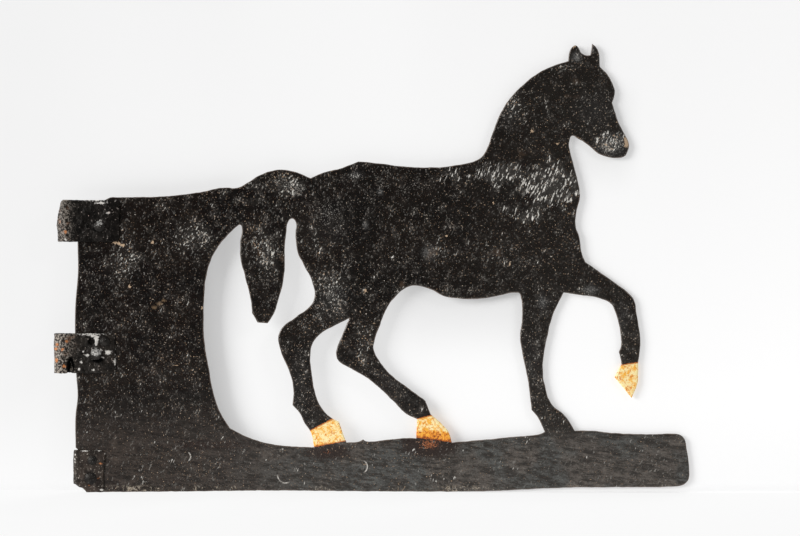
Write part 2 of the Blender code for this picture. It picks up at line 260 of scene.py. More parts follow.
def grid_points(region, spacing, fine):
    """Points of a slightly uneven triangular grid in the region, but only every fourth where fine is false."""
    low = region.start.min(axis=0)
    high = region.start.max(axis=0)
    row = spacing * math.sqrt(0.75)
    out = []
    for j in range(int((high[1] - low[1]) / row) + 1):
        z = low[1] + j * row
        xs = np.arange(low[0] + (j % 2) * spacing / 2, high[0], spacing)
        for i, (x, within) in enumerate(zip(xs, region.inside(xs, z + 1e-5))):
            if not within:
                continue
            coarse = j % 2 == 0 and (i + (j // 2) % 2) % 2 == 0
            if not coarse and not fine(x, z):
                continue
            px = x + 0.18 * spacing * bumpy(x, 5.0, z, 1.7)
            pz = z + 0.18 * spacing * bumpy(x, 25.0, z, 1.7)
            if region.distance(px, pz) > GRID_START:
                out.append((px, pz))
    return out


def flat_face(loops, region, spacing, fine):
    """The points of one face of the sheet, the loops' own first, and the triangles between them."""
    points = [tuple(p) for loop in loops for p in loop]
    sides = []
    base = 0
    for loop in loops:
        count = len(loop)
        sides += [(base + i, base + (i + 1) % count) for i in range(count)]
        base += count
    for depth in RINGS[1:]:
        for loop in loops:
            for (x, z), (nx, nz) in zip(loop, inward(loop)):
                px = x + nx * depth
                pz = z + nz * depth
                if region.distance(px, pz) > depth * 0.93:
                    points.append((px, pz))
    points += grid_points(region, spacing, fine)
    made = delaunay_2d_cdt([Vector(p) for p in points], sides, [], 0, 1e-6)
    places = np.array([tuple(v) for v in made[0]])
    assert len(places) == len(points)
    triangles = []
    for a, b, c in made[2]:
        if min(a, b, c) >= base or max(a, b, c) >= base:
            triangles.append((a, b, c))
        else:
            x, z = places[[a, b, c]].mean(axis=0)
            if region.inside(np.array([x]), z)[0]:
                triangles.append((a, b, c))
    return places, triangles


# --- the sheet's surface -----------------------------------------------------------------------------------


def edge_height(distance):
    """Half thickness at a distance from the outline: full, but rounded over at the edge."""
    reach = EDGE_ROUND - min(distance, EDGE_ROUND)
    return SHEET_HALF - EDGE_ROUND + math.sqrt(EDGE_ROUND**2 - reach**2)


def warp(x, z):
    """How far the old sheet leans back or forward. It is flat where the straps clamp it."""
    free = ramp(x, *STRAP_ZONE)
    return free * (0.55 * bumpy(x, 3.0, z, 210.0) + 0.3 * bumpy(x, 90.0, z, 75.0))


def crust(x, z, side):
    """Height of the paint's lumps on one side, -1 for the front, and how far the place stands proud, from 0."""
    free = 0.35 + 0.65 * ramp(x, *STRAP_ZONE)
    smooth_bar = 0.35 + 0.65 * ramp(z, 52.0, 66.0)
    height = 0.06 * bumpy(x, 60.0 * side, z, 5.0) + 0.04 * bumpy(x, 30.0 * side, z, 2.6)
    proud = 0.0
    if side < 0:
        lump = min(1.0, 1.6 * cone(x, z, PEBBLED)) * max(0.0, bumpy(x, 11.0, z, 2.5))
        ridge = 0.0
        ripples = min(1.0, 2.4 * cone(x, z, RIPPLED))
        if ripples > 0.0:
            across = x * 0.94 - z * 0.34
            along = x * 0.34 + z * 0.94
            ridge = ripples * max(0.0, bumpy(across / 2.4, 0.0, along / 8.0, 1.0))
        height += 0.65 * lump + 0.8 * ridge
        proud = 0.9 * max(lump, ridge)
    return free * smooth_bar * height, proud


def scars(x, z):
    """Height of the blister, the pit and the bent groove on the front of the bar."""
    height = 0.0
    for strength, (cx, cz, start, end) in ((0.8, BLISTER), (-0.45, PIT)):
        away = math.hypot(x - cx, z - cz)
        if away < end:
            height += strength * (1.0 - ramp(away, start, end))
    right = x - GROOVE[0]
    up = z - GROOVE[1]
    off_ring = abs(math.hypot(right, up) - GROOVE_RADIUS)
    if off_ring < GROOVE_WIDTH and right + up < 2.0:
        height -= 0.3 * (1.0 - ramp(off_ring, 0.3, GROOVE_WIDTH))
    return height


def hoof_depth(x, z):
    """How deep inside a painted hoof a place is, negative outside all of them."""
    best = -NO_HOOF
    for corners in HOOVES:
        depth = NO_HOOF
        for (ax, az), (bx, bz) in zip(corners, corners[1:] + corners[:1]):
            size = math.hypot(bx - ax, bz - az)
            depth = min(depth, ((bx - ax) * (z - az) - (bz - az) * (x - ax)) / size)
        best = max(best, depth)
    return best


def needs_fine(x, z):
    """True where the front's shape or marks need the closer grid."""
    if cone(x, z, RIPPLED) > 0.05 or cone(x, z, PEBBLED) > 0.3 or cone(x, z, CHIPS + SMEARS) > 0.0:
        return True
    if math.hypot(x - 116.0, z - 40.0) < 14.0:  # the blister and the pit
        return True
    return math.hypot(x - GROOVE[0], z - GROOVE[1]) < GROOVE_RADIUS + 3.0


def add_values(mesh, name, values):
    """A number at each vertex, for the material."""
    attribute = mesh.attributes.new(name, "FLOAT", "POINT")
    attribute.data.foreach_set("value", np.array(values, dtype=np.float32))


SHEET_VALUES = (
    "edge", "pebbles", "ripples", "grey", "brown", "chip", "scuff_and_sheen", "smear", "stain", "hoof", "proud",
)


def build_sheet(node):
    """The horse, the panel and the bar: one thick sheet with a hand-cut outline and lumpy faces."""
    loops = [hand_cut(smooth_loop(loop)) for loop in front_loops(node)]
    region = Region(loops)
    rim = sum(len(loop) for loop in loops)
    vertices = []
    faces = []
    values = {name: [] for name in SHEET_VALUES}
    for side in (-1, 1):
        front = side < 0
        fine = needs_fine if front else lambda x, z: False
        spacing = FINE_SPACING if front else BACK_SPACING / 2
        places, triangles = flat_face(loops, region, spacing, fine)
        base = len(vertices)
        for i, (x, z) in enumerate(places):
            away = 0.0 if i < rim else region.distance(x, z)
            height = edge_height(away)
            proud = 0.0
            if i >= rim:
                lumps, proud = crust(x, z, side)
                height += lumps
                if front:
                    height += scars(x, z)
            vertices.append((x * MM, (side * height + warp(x, z)) * MM, z * MM))
            shifted = x if front else x + BACK_SHIFT
            values["edge"].append(away)
            values["proud"].append(proud)
            values["pebbles"].append(cone(shifted, z, PEBBLED) * (1.0 if front else 0.5))
            values["ripples"].append(cone(x, z, RIPPLED) if front else 0.0)
            values["scuff_and_sheen"].append(cone(shifted, z, SCUFFS_AND_SHEEN))
            values["stain"].append(cone(x, z, STAINS))
            values["grey"].append(cone(shifted, z, WORN_GREY))
            values["brown"].append(cone(shifted, z, BROWN))
            values["chip"].append(cone(x, z, CHIPS) if front else 0.0)
            values["smear"].append(cone(x, z, SMEARS) if front else 0.0)
            values["hoof"].append(hoof_depth(x, z))
        for a, b, c in triangles:
            faces.append((base + a, base + b, base + c) if front else (base + a, base + c, base + b))
        if not front:  # walls between the two faces
            start = 0
            for loop in loops:
                count = len(loop)
                for i in range(count):
                    a = start + i
                    b = start + (i + 1) % count
                    faces.append((a, base + a, base + b, b))
                start += count
    mesh = bpy.data.meshes.new("sheet")
    mesh.from_pydata(vertices, [], faces)
    for name, numbers in values.items():
        add_values(mesh, name, numbers)
    mesh.shade_smooth()
    piece = bpy.data.objects.new("sheet", mesh)
    bpy.context.collection.objects.link(piece)
    return piece


# --- straps and rivets -------------------------------------------------------------------------------------

# Marks on the straps' fronts: x, z, half width, half height, strength
# Pale marks: chips, a white deposit and rubbed rivet tops, with painted highlights along the straps' edges and
# on the rivet tops
PALE = [
    (34.5, 269.0, 5.5, 4.2, 0.9), (43.5, 279.0, 4.0, 2.4, 0.9), (35.5, 288.8, 9.0, 1.6, 1.2),
    (30.0, 291.3, 24.0, 1.6, 0.7), (2.0, 252.5, 3.0, 2.4, 0.8), (27.0, 158.0, 22.0, 2.2, 0.9),
    (31.5, 140.0, 7.0, 5.5, 1.5), (28.0, 156.5, 6.0, 3.0, 1.2), (31.5, 153.0, 3.4, 7.0, 1.5),
    (31.0, 148.0, 2.0, 4.0, 1.2),
    (43.5, 140.0, 5.0, 3.8, 1.3), (51.0, 130.5, 3.0, 11.0, 1.0), (22.5, 137.0, 3.0, 2.2, 1.0),
    (18.5, 141.0, 2.2, 2.2, 0.9), (16.5, 130.0, 2.4, 3.0, 1.0), (14.5, 123.0, 2.2, 2.2, 1.0),
    (29.0, 122.5, 3.0, 2.2, 0.9), (38.5, 135.0, 2.2, 2.0, 0.8), (10.5, 38.0, 3.0, 2.4, 0.8),
    (20.0, 41.5, 7.0, 1.8, 0.9), (34.5, 42.0, 6.0, 1.8, 0.8), (40.5, 39.0, 2.0, 2.4, 0.8),
    (37.0, 2.6, 4.0, 1.6, 1.0), (10.0, 33.0, 1.8, 5.0, 0.7),
]
TAN = [
    (35.5, 29.0, 4.0, 2.4, 0.6), (33.5, 14.0, 2.4, 2.4, 0.6), (24.5, 7.0, 2.6, 2.2, 0.6),
    (-7.0, 148.0, 3.0, 2.4, 1.2), (-8.5, 143.5, 3.0, 2.4, 1.2), (-1.5, 143.0, 2.4, 2.4, 1.1),
    (-7.5, 132.0, 3.0, 3.4, 1.2), (0.5, 126.0, 3.0, 3.0, 1.1), (2.5, 151.0, 2.6, 2.6, 1.1),
    (1.5, 260.0, 2.6, 2.6, 1.1), (-5.0, 270.0, 3.0, 6.0, 0.5), (44.0, 279.0, 3.0, 2.2, 0.7),
]
# Painted shade on the straps' fronts: in the split of the middle eye, in the empty hole and under two rivets
STRAP_PAINTED_SHADE = [
    (6.2, 126.0, 5.0, 13.0, 1.2), (33.5, 262.5, 8.0, 4.0, 0.9), (33.0, 132.0, 8.0, 4.0, 1.0),
    (26.5, 150.8, 5.0, 5.0, 1.0),
]

LEAF_TAPER = 9.0  # length of a leaf's end that thins
LEAF_THINNED = 1.5
LEAF_BACK = 3.1  # a strap's faces nearer the sheet's middle than this lie against the sheet
SHEET_EDGE = 9.0  # x left of which there is no sheet
NO_END = 1000.0  # a leaf end so far off that nothing thins
EYE_RADIUS = 9.5
EYES_END = 12.0  # x that every eye is left of
LOWEST_EYE = 100.0
BORE_REACH = 7.8  # how far from an eye's axis the wall of its bore lies at most
STRAP_BACK_SHIFT = 13.0  # as BACK_SHIFT, for the straps


def remeshed(node, name, voxel, rounds):
    """A new object with a CAD node's shape in an even mesh, its edges softened by rounds of smoothing."""
    copy = bpy.data.objects.new(name, node.data.copy())
    bpy.context.collection.objects.link(copy)
    copy.data.materials.clear()
    weld = copy.modifiers.new("weld", "WELD")
    weld.merge_threshold = 0.00001
    remesh = copy.modifiers.new("even", "REMESH")
    remesh.mode = "VOXEL"
    remesh.voxel_size = voxel * MM
    soften = copy.modifiers.new("soften", "SMOOTH")
    soften.factor = 0.5
    soften.iterations = rounds
    bpy.context.view_layer.update()
    shape = bpy.data.meshes.new_from_object(copy.evaluated_get(bpy.context.evaluated_depsgraph_get()))
    copy.modifiers.clear()
    copy.data = shape
    shape.shade_smooth()
    return copy


def corrode(piece, rough, lumps, seed, end=NO_END):
    """Pits and swells a piece's surface, less where it lies on the sheet. A leaf thins towards its end."""
    mesh = piece.data
    count = len(mesh.vertices)
    places = np.empty(count * 3, dtype=np.float32)
    mesh.vertices.foreach_get("co", places)
    places = places.reshape(-1, 3)
    normals = np.array([tuple(v.normal) for v in mesh.vertices])
    moved = places / MM
    for i, (x, y, z) in enumerate(places / MM):
        height = lumps * bumpy(x, y + seed, z, 7.5) + rough * bumpy(x, y + 2 * seed, z, 2.6)
        height += 0.5 * rough * bumpy(x, y + 3 * seed, z, 1.3)
        if abs(y) < LEAF_BACK and x > SHEET_EDGE:
            height *= 0.15
        thinner = LEAF_THINNED * ramp(x, end - LEAF_TAPER, end) if abs(y) > LEAF_BACK else 0.0
        outward = math.copysign(1.0, y)
        moved[i] = (
            x + normals[i][0] * height,
            y + normals[i][1] * height - outward * thinner,
            z + normals[i][2] * height,
        )
    mesh.vertices.foreach_set("co", (moved * MM).ravel())
    mesh.update()


def mark_strap(piece):
    """Gives a strap or a rivet the vertex values that its paint reads. The walls of the bores get painted shade.
    """
    names = ("pale", "tan", "painted_shade")
    values = {name: [] for name in names}
    axis = min(vertex.co.x for vertex in piece.data.vertices) / MM + EYE_RADIUS
    for vertex in piece.data.vertices:
        x, y, z = vertex.co / MM
        shift = 0.0 if y < 0 else STRAP_BACK_SHIFT
        values["pale"].append(cone(x + shift, z, PALE))
        values["tan"].append(cone(x + shift, z, TAN))
        # painted shade: the walls of the eyes' bores are made dark
        in_bore = z > LOWEST_EYE and x < EYES_END and math.hypot(x - axis, y) < BORE_REACH
        values["painted_shade"].append(1.0 if in_bore else cone(x, z, STRAP_PAINTED_SHADE) if y < 0 else 0.0)
    for name in names:
        add_values(piece.data, name, values[name])


# --- materials ---------------------------------------------------------------------------------------------


SHINE_TINT = (1.0, 0.94, 0.87, 1.0)
VIEW_ENDS = (-0.07, 0.74)  # x, in metres, at the left and right of the view


class Paint:
    """A material's node tree, built by calls that give sockets."""

    def __init__(self, name):
        self.material = bpy.data.materials.new(name)
        self.material.use_nodes = True
        self.tree = self.material.node_tree
        self.tree.nodes.clear()
        self.place = self.add("ShaderNodeTexCoord").outputs["Object"]

    def add(self, kind, **settings):
        node = self.tree.nodes.new(kind)
        for name, value in settings.items():
            setattr(node, name, value)
        return node

    def join(self, value, socket):
        if isinstance(value, bpy.types.NodeSocket):
            self.tree.links.new(value, socket)
        elif isinstance(value, tuple) and len(value) == 3 and socket.type == "RGBA":
            socket.default_value = (*value, 1.0)
        else:
            socket.default_value = value

    def math(self, operation, *values):
        node = self.add("ShaderNodeMath", operation=operation)
        for value, socket in zip(values, node.inputs):
            self.join(value, socket)
        return node.outputs[0]

    def attribute(self, name):
        return self.add("ShaderNodeAttribute", attribute_name=name).outputs["Fac"]

    def axis(self, letter):
        """The place's distance along an axis, in metres."""
        node = self.add("ShaderNodeSeparateXYZ")
        self.join(self.place, node.inputs[0])
        return node.outputs[letter]

    def stretched(self, turn, shape):
        """Places for a pattern drawn out by shape along axes that are turned about the sheet's normal."""
        node = self.add("ShaderNodeMapping", vector_type="TEXTURE")
        self.join(self.place, node.inputs["Vector"])
        node.inputs["Rotation"].default_value = (0.0, turn, 0.0)
        node.inputs["Scale"].default_value = shape
        return node.outputs[0]

    def noise(self, period, detail=2.0, rough=0.55, place=None):
        """Noise from 0 to 1, mostly 0.3 to 0.7, whose spots are about period mm apart."""
        node = self.add("ShaderNodeTexNoise")
        self.join(place or self.place, node.inputs["Vector"])
        node.inputs["Scale"].default_value = 1.0 / (period * MM)
        node.inputs["Detail"].default_value = detail
        node.inputs["Roughness"].default_value = rough
        return node.outputs["Fac"]

    def arc(self, x, z, radius, turn):
        """A thin part of a ring, on the side that is turn radians from +X towards +Z."""
        right = self.math("SUBTRACT", self.axis("X"), x * MM)
        up = self.math("SUBTRACT", self.axis("Z"), z * MM)
        away = self.math("SQRT", self.math("MULTIPLY_ADD", right, right, self.math("MULTIPLY", up, up)))
        off_ring = self.math("ABSOLUTE", self.math("SUBTRACT", away, radius * MM))
        reach = self.math("MULTIPLY_ADD", right, math.cos(turn), self.math("MULTIPLY", up, math.sin(turn)))
        on_side = self.step(reach, 0.35 * radius * MM, 0.8 * radius * MM)
        return self.math("MULTIPLY", self.step(off_ring, 0.9 * MM, 0.2 * MM), on_side)

    def step(self, value, low, high, start=0.0, end=1.0):
        node = self.add("ShaderNodeMapRange", interpolation_type="SMOOTHSTEP")
        for item, socket in zip((value, low, high, start, end), node.inputs):
            self.join(item, socket)
        return node.outputs[0]

    def across(self, left, right):
        """A value that changes evenly from the left to the right of the view, for the stage."""
        node = self.add("ShaderNodeMapRange")
        for item, socket in zip((self.axis("X"), *VIEW_ENDS, left, right), node.inputs):
            self.join(item, socket)
        return node.outputs[0]

    def mix(self, amount, first, second):
        node = self.add("ShaderNodeMix", data_type="RGBA")
        self.join(amount, node.inputs[0])
        self.join(first, node.inputs[6])
        self.join(second, node.inputs[7])
        return node.outputs[2]

    def bump(self, height, distance, strength=1.0, under=None):
        node = self.add("ShaderNodeBump")
        self.join(height, node.inputs["Height"])
        self.join(strength, node.inputs["Strength"])
        node.inputs["Distance"].default_value = distance * MM
        if under is not None:
            self.join(under, node.inputs["Normal"])
        return node.outputs[0]

    def finish(self, colour, roughness, normal, specular=0.5):
        shader = self.add("ShaderNodeBsdfPrincipled")
        self.join(colour, shader.inputs["Base Color"])
        self.join(roughness, shader.inputs["Roughness"])
        self.join(normal, shader.inputs["Normal"])
        self.join(specular, shader.inputs["Specular IOR Level"])
        shader.inputs["Specular Tint"].default_value = SHINE_TINT
        out = self.add("ShaderNodeOutputMaterial")
        self.join(shader.outputs[0], out.inputs["Surface"])
        return self.material


# The sheet's paint gives way to the bar's going down, slowly at the left and fast at the right, in metres
BAR_BLEND = (0.13, 0.20)  # x where the left part ends and the right part starts
BAR_TOP = (0.100, 0.066)  # height where the bar's paint starts, at the left and at the right
BAR_FULL = (0.032, 0.052)  # height where it is the only paint, at the left and at the right
EYE_PAINT = (0.0115, 0.004)  # x, in metres, over which a leaf's paint gives way to its eye's
PALE_GRIT_AND_GLINT = (0.46, 0.43, 0.38)
TAN_GRIT_AND_GLINT = (0.36, 0.24, 0.15)


def sheet_paint():
    """Old black paint over pitted sheet iron: pebbled and sparkling, brown and grey where it is worn, with
    painted sheen, highlights and glints.
    """
    p = Paint("old_black_paint")
    broad = p.noise(45.0, 3.0)
    patchy = p.noise(9.0, 3.0, 0.6)
    grain = p.noise(1.5, 2.0, 0.6)
    pebbles = p.noise(2.0, 0.5)
    uneven = p.math("SUBTRACT", broad, 0.5)
    blotchy = p.math("SUBTRACT", patchy, 0.5)
    loose = p.math("SUBTRACT", grain, 0.5)
    pebbled = p.step(p.math("MULTIPLY_ADD", uneven, 1.8, p.attribute("pebbles")), 0.10, 0.70)
    bar_top = p.step(p.axis("X"), *BAR_BLEND, *BAR_TOP)
    bar_full = p.step(p.axis("X"), *BAR_BLEND, *BAR_FULL)
    bar = p.step(p.math("MULTIPLY_ADD", uneven, 0.04, p.axis("Z")), bar_top, bar_full)
    crowd = p.math("MULTIPLY_ADD", pebbled, -0.04, 0.60)
    crowd = p.math("MULTIPLY_ADD", blotchy, -0.5, crowd)
    pimples = p.step(pebbles, crowd, p.math("ADD", crowd, 0.20))

    # the black paint, browner towards the horse's head and lighter there: painted light against the key's
    # fall-off
    colour = p.mix(p.step(broad, 0.38, 0.62), (0.0024, 0.0022, 0.0021), (0.0060, 0.0043, 0.0033))
    colour = p.mix(p.step(patchy, 0.48, 0.75), colour, (0.0120, 0.0094, 0.0076))
    colour = p.mix(p.step(p.axis("X"), 0.34, 0.52, 0.0, 0.8), colour, (0.0135, 0.0118, 0.0100))
    # painted sheen and glints: the pebbled areas and the tops of the pimples are lighter
    colour = p.mix(p.math("MULTIPLY", pebbled, 0.6), colour, (0.030, 0.028, 0.025))
    pimple_top_sheen = p.mix(pebbled, (0.036, 0.030, 0.025), (0.21, 0.197, 0.178))
    colour = p.mix(p.math("MULTIPLY", pimples, 0.65), colour, pimple_top_sheen)

    # the bar: streaked greyish paint, scratched, flaked along its foot and stained under two hooves
    streaks = p.noise(3.2, 6.0, 0.8, p.stretched(0.12, (3.6, 1.0, 1.0)))
    streaky = p.step(streaks, 0.40, 0.62)
    light = p.mix(p.step(broad, 0.42, 0.56), (0.084, 0.088, 0.084), (0.108, 0.094, 0.082))
    bar_colour = p.mix(streaky, (0.0125, 0.0110, 0.0095), light)
    brownish = p.mix(streaky, (0.0045, 0.0033, 0.0027), (0.043, 0.033, 0.027))
    bar_colour = p.mix(p.step(p.axis("X"), 0.10, 0.32), brownish, bar_colour)
    scratches = p.noise(1.5, 3.0, 0.7, p.stretched(0.45, (6.0, 1.0, 1.0)))
    scratched = p.math("MULTIPLY", p.step(scratches, 0.62, 0.76), 0.7)
    bar_colour = p.mix(scratched, bar_colour, (0.24, 0.22, 0.195))
    bar_colour = p.mix(p.step(grain, 0.45, 0.30), bar_colour, (0.012, 0.0105, 0.0095))
    colour = p.mix(bar, colour, bar_colour)
    flaked = p.step(p.math("MULTIPLY_ADD", uneven, 0.9, p.noise(2.2, 2.0, 0.7)), 0.60, 0.70)
    flaked = p.math("MULTIPLY", flaked, p.step(p.axis("Z"), 0.0080, 0.0040))
    colour = p.mix(p.math("MULTIPLY", flaked, 0.7), colour, (0.42, 0.36, 0.28))
    on_front = p.math("MULTIPLY", p.step(p.axis("Y"), 0.0, -0.001), p.step(patchy, 0.25, 0.5))
    for arc_mark in BRIGHT_ARCS:
        colour = p.mix(p.math("MULTIPLY", p.arc(*arc_mark), on_front), colour, (0.50, 0.47, 0.43))
    stain = p.math("MULTIPLY_ADD", loose, 2.0, p.attribute("stain"))
    colour = p.mix(p.math("MULTIPLY", p.step(stain, 0.0, 0.4), 0.96), colour, (0.0090, 0.0022, 0.0012))
    colour = p.mix(p.math("MULTIPLY", p.step(stain, 1.05, 1.35), 0.7), colour, (0.40, 0.12, 0.035))

    # worn, brown and raised places, with painted sheen, highlights and glints on the ripples, crests, pebbles
    # and scuffs
    dusty = p.attribute("grey")
    colour = p.mix(p.step(dusty, 0.0, 0.7), colour, p.mix(0.75, colour, (0.036, 0.035, 0.034)))
    grey = p.math("MULTIPLY_ADD", loose, 2.6, dusty)
    colour = p.mix(p.math("MULTIPLY", p.step(grey, 0.35, 1.1), 0.6), colour, (0.24, 0.235, 0.225))
    brown = p.math("MULTIPLY_ADD", p.math("SUBTRACT", patchy, 0.55), 1.6, p.attribute("brown"))
    colour = p.mix(p.math("MULTIPLY", p.step(brown, 0.25, 0.8), 0.65), colour, (0.072, 0.044, 0.028))

    # the raised tops are paler: rubbed paint, and painted glints
    worn = p.math("MULTIPLY_ADD", loose, 1.5, p.attribute("proud"))
    colour = p.mix(p.math("MULTIPLY", p.step(worn, 0.65, 1.1), 0.5), colour, (0.46, 0.445, 0.41))
    rippled = p.step(p.math("MULTIPLY_ADD", blotchy, 1.6, p.attribute("ripples")), 0.05, 0.7)
    # painted sheen: the rippled chest is lighter
    colour = p.mix(p.math("MULTIPLY", rippled, 0.6), colour, (0.045, 0.042, 0.038))
    # painted highlights: thin bright crests along the ripples
    ridges = p.noise(1.5, 1.5, 0.5, p.stretched(0.35, (1.0, 1.0, 4.0)))
    crests = p.step(p.math("MULTIPLY_ADD", rippled, 0.06, ridges), 0.62, 0.69)
    crests = p.math("MULTIPLY", crests, p.step(rippled, 0.0, 0.35))
    crest_highlight_colour = p.mix(p.step(grain, 0.40, 0.60), (0.34, 0.325, 0.30), (0.84, 0.81, 0.75))
    colour = p.mix(crests, colour, crest_highlight_colour)
    glints = p.noise(2.1, 1.5, 0.6, p.stretched(0.5, (1.0, 1.0, 1.8)))
    glints = p.step(p.math("MULTIPLY_ADD", pebbled, 0.05, glints), 0.645, 0.70)
    glints = p.math("MULTIPLY", glints, p.math("MULTIPLY_ADD", pebbled, 0.8, 0.1))
    colour = p.mix(glints, colour, (0.60, 0.58, 0.53))
    # scuffs, and painted sheen over the larger areas
    scuff_and_sheen = p.math("MULTIPLY_ADD", loose, 2.8, p.attribute("scuff_and_sheen"))
    colour = p.mix(p.math("MULTIPLY", p.step(scuff_and_sheen, 0.65, 1.15), 0.8), colour, (0.46, 0.44, 0.41))

    # specks and crumbs, which are grit and painted glints, chips and the worn rim
    rarity = p.math("MULTIPLY_ADD", blotchy, 0.6, p.noise(1.5, 0.0))
    rarity = p.math("MULTIPLY_ADD", pebbled, 0.05, rarity)
    speck = p.math("MULTIPLY", p.step(rarity, 0.755, 0.80), p.math("MULTIPLY_ADD", bar, -0.9, 1.0))
    speck = p.math("MULTIPLY", speck, p.math("MULTIPLY_ADD", pebbled, 0.45, 0.4))
    colour = p.mix(speck, colour, p.mix(p.step(broad, 0.42, 0.62), PALE_GRIT_AND_GLINT, TAN_GRIT_AND_GLINT))

    crumb_and_glint = p.step(p.math("MULTIPLY_ADD", pebbled, 0.03, p.noise(2.6, 1.0)), 0.78, 0.82)
    crumb_and_glint = p.math("MULTIPLY", crumb_and_glint, p.math("MULTIPLY_ADD", bar, -0.6, 0.8))
    colour = p.mix(crumb_and_glint, colour, (0.60, 0.54, 0.47))

    chip = p.math("MULTIPLY_ADD", loose, 2.0, p.attribute("chip"))
    colour = p.mix(p.step(chip, 0.30, 0.5), colour, (0.46, 0.33, 0.22))
    smear = p.math("MULTIPLY_ADD", loose, 1.1, p.attribute("smear"))
    colour = p.mix(p.math("MULTIPLY", p.step(smear, 0.2, 0.8), 0.8), colour, (0.16, 0.105, 0.060))

    rim = p.step(p.math("MULTIPLY_ADD", blotchy, 2.4, p.attribute("edge")), 1.2, 0.1)
    colour = p.mix(p.math("MULTIPLY", rim, 0.8), colour, (0.115, 0.082, 0.064))

    # the hooves: yellow going to orange and rust, darker round their edges
    inside = p.math("MULTIPLY_ADD", loose, 1.6, p.attribute("hoof"))
    hoof = p.step(inside, -0.1, 0.3)
    rusty = p.math("MULTIPLY_ADD", p.attribute("stain"), 0.25, p.noise(4.0, 4.0, 0.75))
    yellow = p.mix(p.step(rusty, 0.44, 0.62), (0.98, 0.82, 0.42), (0.92, 0.44, 0.050))
    blotches = p.math("MULTIPLY_ADD", p.attribute("stain"), 0.25, p.noise(2.6, 3.0, 0.7))
    yellow = p.mix(p.math("MULTIPLY", p.step(blotches, 0.54, 0.64), 0.9), yellow, (0.72, 0.22, 0.016))
    yellow = p.mix(p.step(inside, 2.0, 0.3), yellow, (0.45, 0.11, 0.012))
    yellow = p.mix(p.step(blotches, 0.67, 0.76), yellow, (0.20, 0.045, 0.008))
    colour = p.mix(hoof, colour, yellow)

    strength = p.math("MULTIPLY_ADD", pebbled, 0.3, 0.7)
    strength = p.math("MULTIPLY", strength, p.math("MULTIPLY_ADD", bar, -0.6, 1.0))
    strength = p.math("MULTIPLY", strength, p.math("MULTIPLY_ADD", hoof, -0.6, 1.0))
    normal = p.bump(pimples, 0.42, strength)
    normal = p.bump(crests, 0.5, 0.8, normal)
    normal = p.bump(grain, 0.28, 0.5, normal)
    roughness = p.math("MULTIPLY_ADD", bar, 0.16, p.step(patchy, 0.3, 0.7, 0.24, 0.36))
    gloss = p.step(p.axis("X"), 0.06, 0.26, 0.28, 0.5)
    return p.finish(colour, roughness, normal, gloss)


def strap_paint(name, dark, light, worn, speckle, eye_dark, eye_light):
    """Paint left on corroded strap iron: two tones and bare spots on the leaves, two rustier ones on the eye."""
    p = Paint(name)
    patchy = p.noise(9.0, 3.0, 0.6)
    grain = p.noise(2.2, 3.0, 0.65)
    loose = p.math("SUBTRACT", grain, 0.5)
    colour = p.mix(p.step(patchy, 0.35, 0.68), dark, light)
    colour = p.mix(p.math("MULTIPLY", p.step(grain, 0.56, 0.72), speckle), colour, worn)
    crumbs = p.mix(p.step(p.noise(1.7, 2.0, 0.6), 0.46, 0.60), eye_dark, eye_light)
    crumbs = p.mix(p.step(patchy, 0.55, 0.75, 0.0, 0.8), crumbs, (0.20, 0.095, 0.050))
    eye = p.math("MULTIPLY_ADD", loose, 0.03, p.axis("X"))
    colour = p.mix(p.step(eye, *EYE_PAINT), colour, crumbs)
    tan = p.math("MULTIPLY_ADD", loose, 2.0, p.attribute("tan"))
    colour = p.mix(p.math("MULTIPLY", p.step(tan, 0.25, 0.8), 0.8), colour, (0.52, 0.19, 0.06))
    # pale chips and deposits, and painted highlights along the edges and on the rivet tops
    pale = p.math("MULTIPLY_ADD", loose, 2.6, p.attribute("pale"))
    colour = p.mix(p.math("MULTIPLY", p.step(pale, 0.30, 0.80), 0.9), colour, (0.62, 0.59, 0.55))
    # painted shade: near black and nearly without shine in the bores, the split, the empty hole and under two
    # rivets
    painted_shade = p.step(p.attribute("painted_shade"), 0.1, 0.5)
    colour = p.mix(painted_shade, colour, (0.0012, 0.0012, 0.0012))
    roughness = p.step(patchy, 0.3, 0.7, 0.30, 0.44)
    gloss = p.step(painted_shade, 0.0, 1.0, 0.22, 0.02)
    return p.finish(colour, roughness, p.bump(grain, 0.7, 0.45), gloss)


def rivet_iron():
    """Hammered rivet heads: black paint rubbed through to grey iron on top of each, where a painted highlight
    also lies.
    """
    p = Paint("rivet_iron_rubbed_and_highlit")
    grain = p.noise(1.9, 3.0, 0.6)
    patchy = p.noise(5.0, 2.0)
    colour = p.mix(p.step(patchy, 0.35, 0.65), (0.0030, 0.0027, 0.0025), (0.016, 0.014, 0.0125))
    pale = p.math("MULTIPLY_ADD", p.math("SUBTRACT", grain, 0.5), 2.4, p.attribute("pale"))
    rubbed_and_highlit = p.mix(p.step(p.noise(1.2, 2.0), 0.42, 0.60), (0.10, 0.098, 0.094), (0.50, 0.485, 0.46))
    colour = p.mix(p.math("MULTIPLY", p.step(pale, 0.25, 0.7), 0.85), colour, rubbed_and_highlit)
    normal = p.bump(grain, 0.6, 0.7)
    return p.finish(colour, p.step(grain, 0.4, 0.6, 0.30, 0.44), normal, 0.22)


# --- building ----------------------------------------------------------------------------------------------


def place_piece(piece, node, material):
    """Hands a finished piece to the frame in the place of its CAD node."""
    piece.data.materials.append(material)
    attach(piece, "root")
    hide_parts(node)


sheet = build_sheet(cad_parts["vane_plate"])
place_piece(sheet, "vane_plate", sheet_paint())

# Surface of each strap: fine roughness, height of its lumps, seed
STRAPS = {
    "top_strap": (0.16, 0.3, 3.0),
    "middle_strap": (0.2, 0.4, 47.0),
    "bottom_strap": (0.12, 0.25, 91.0),
}
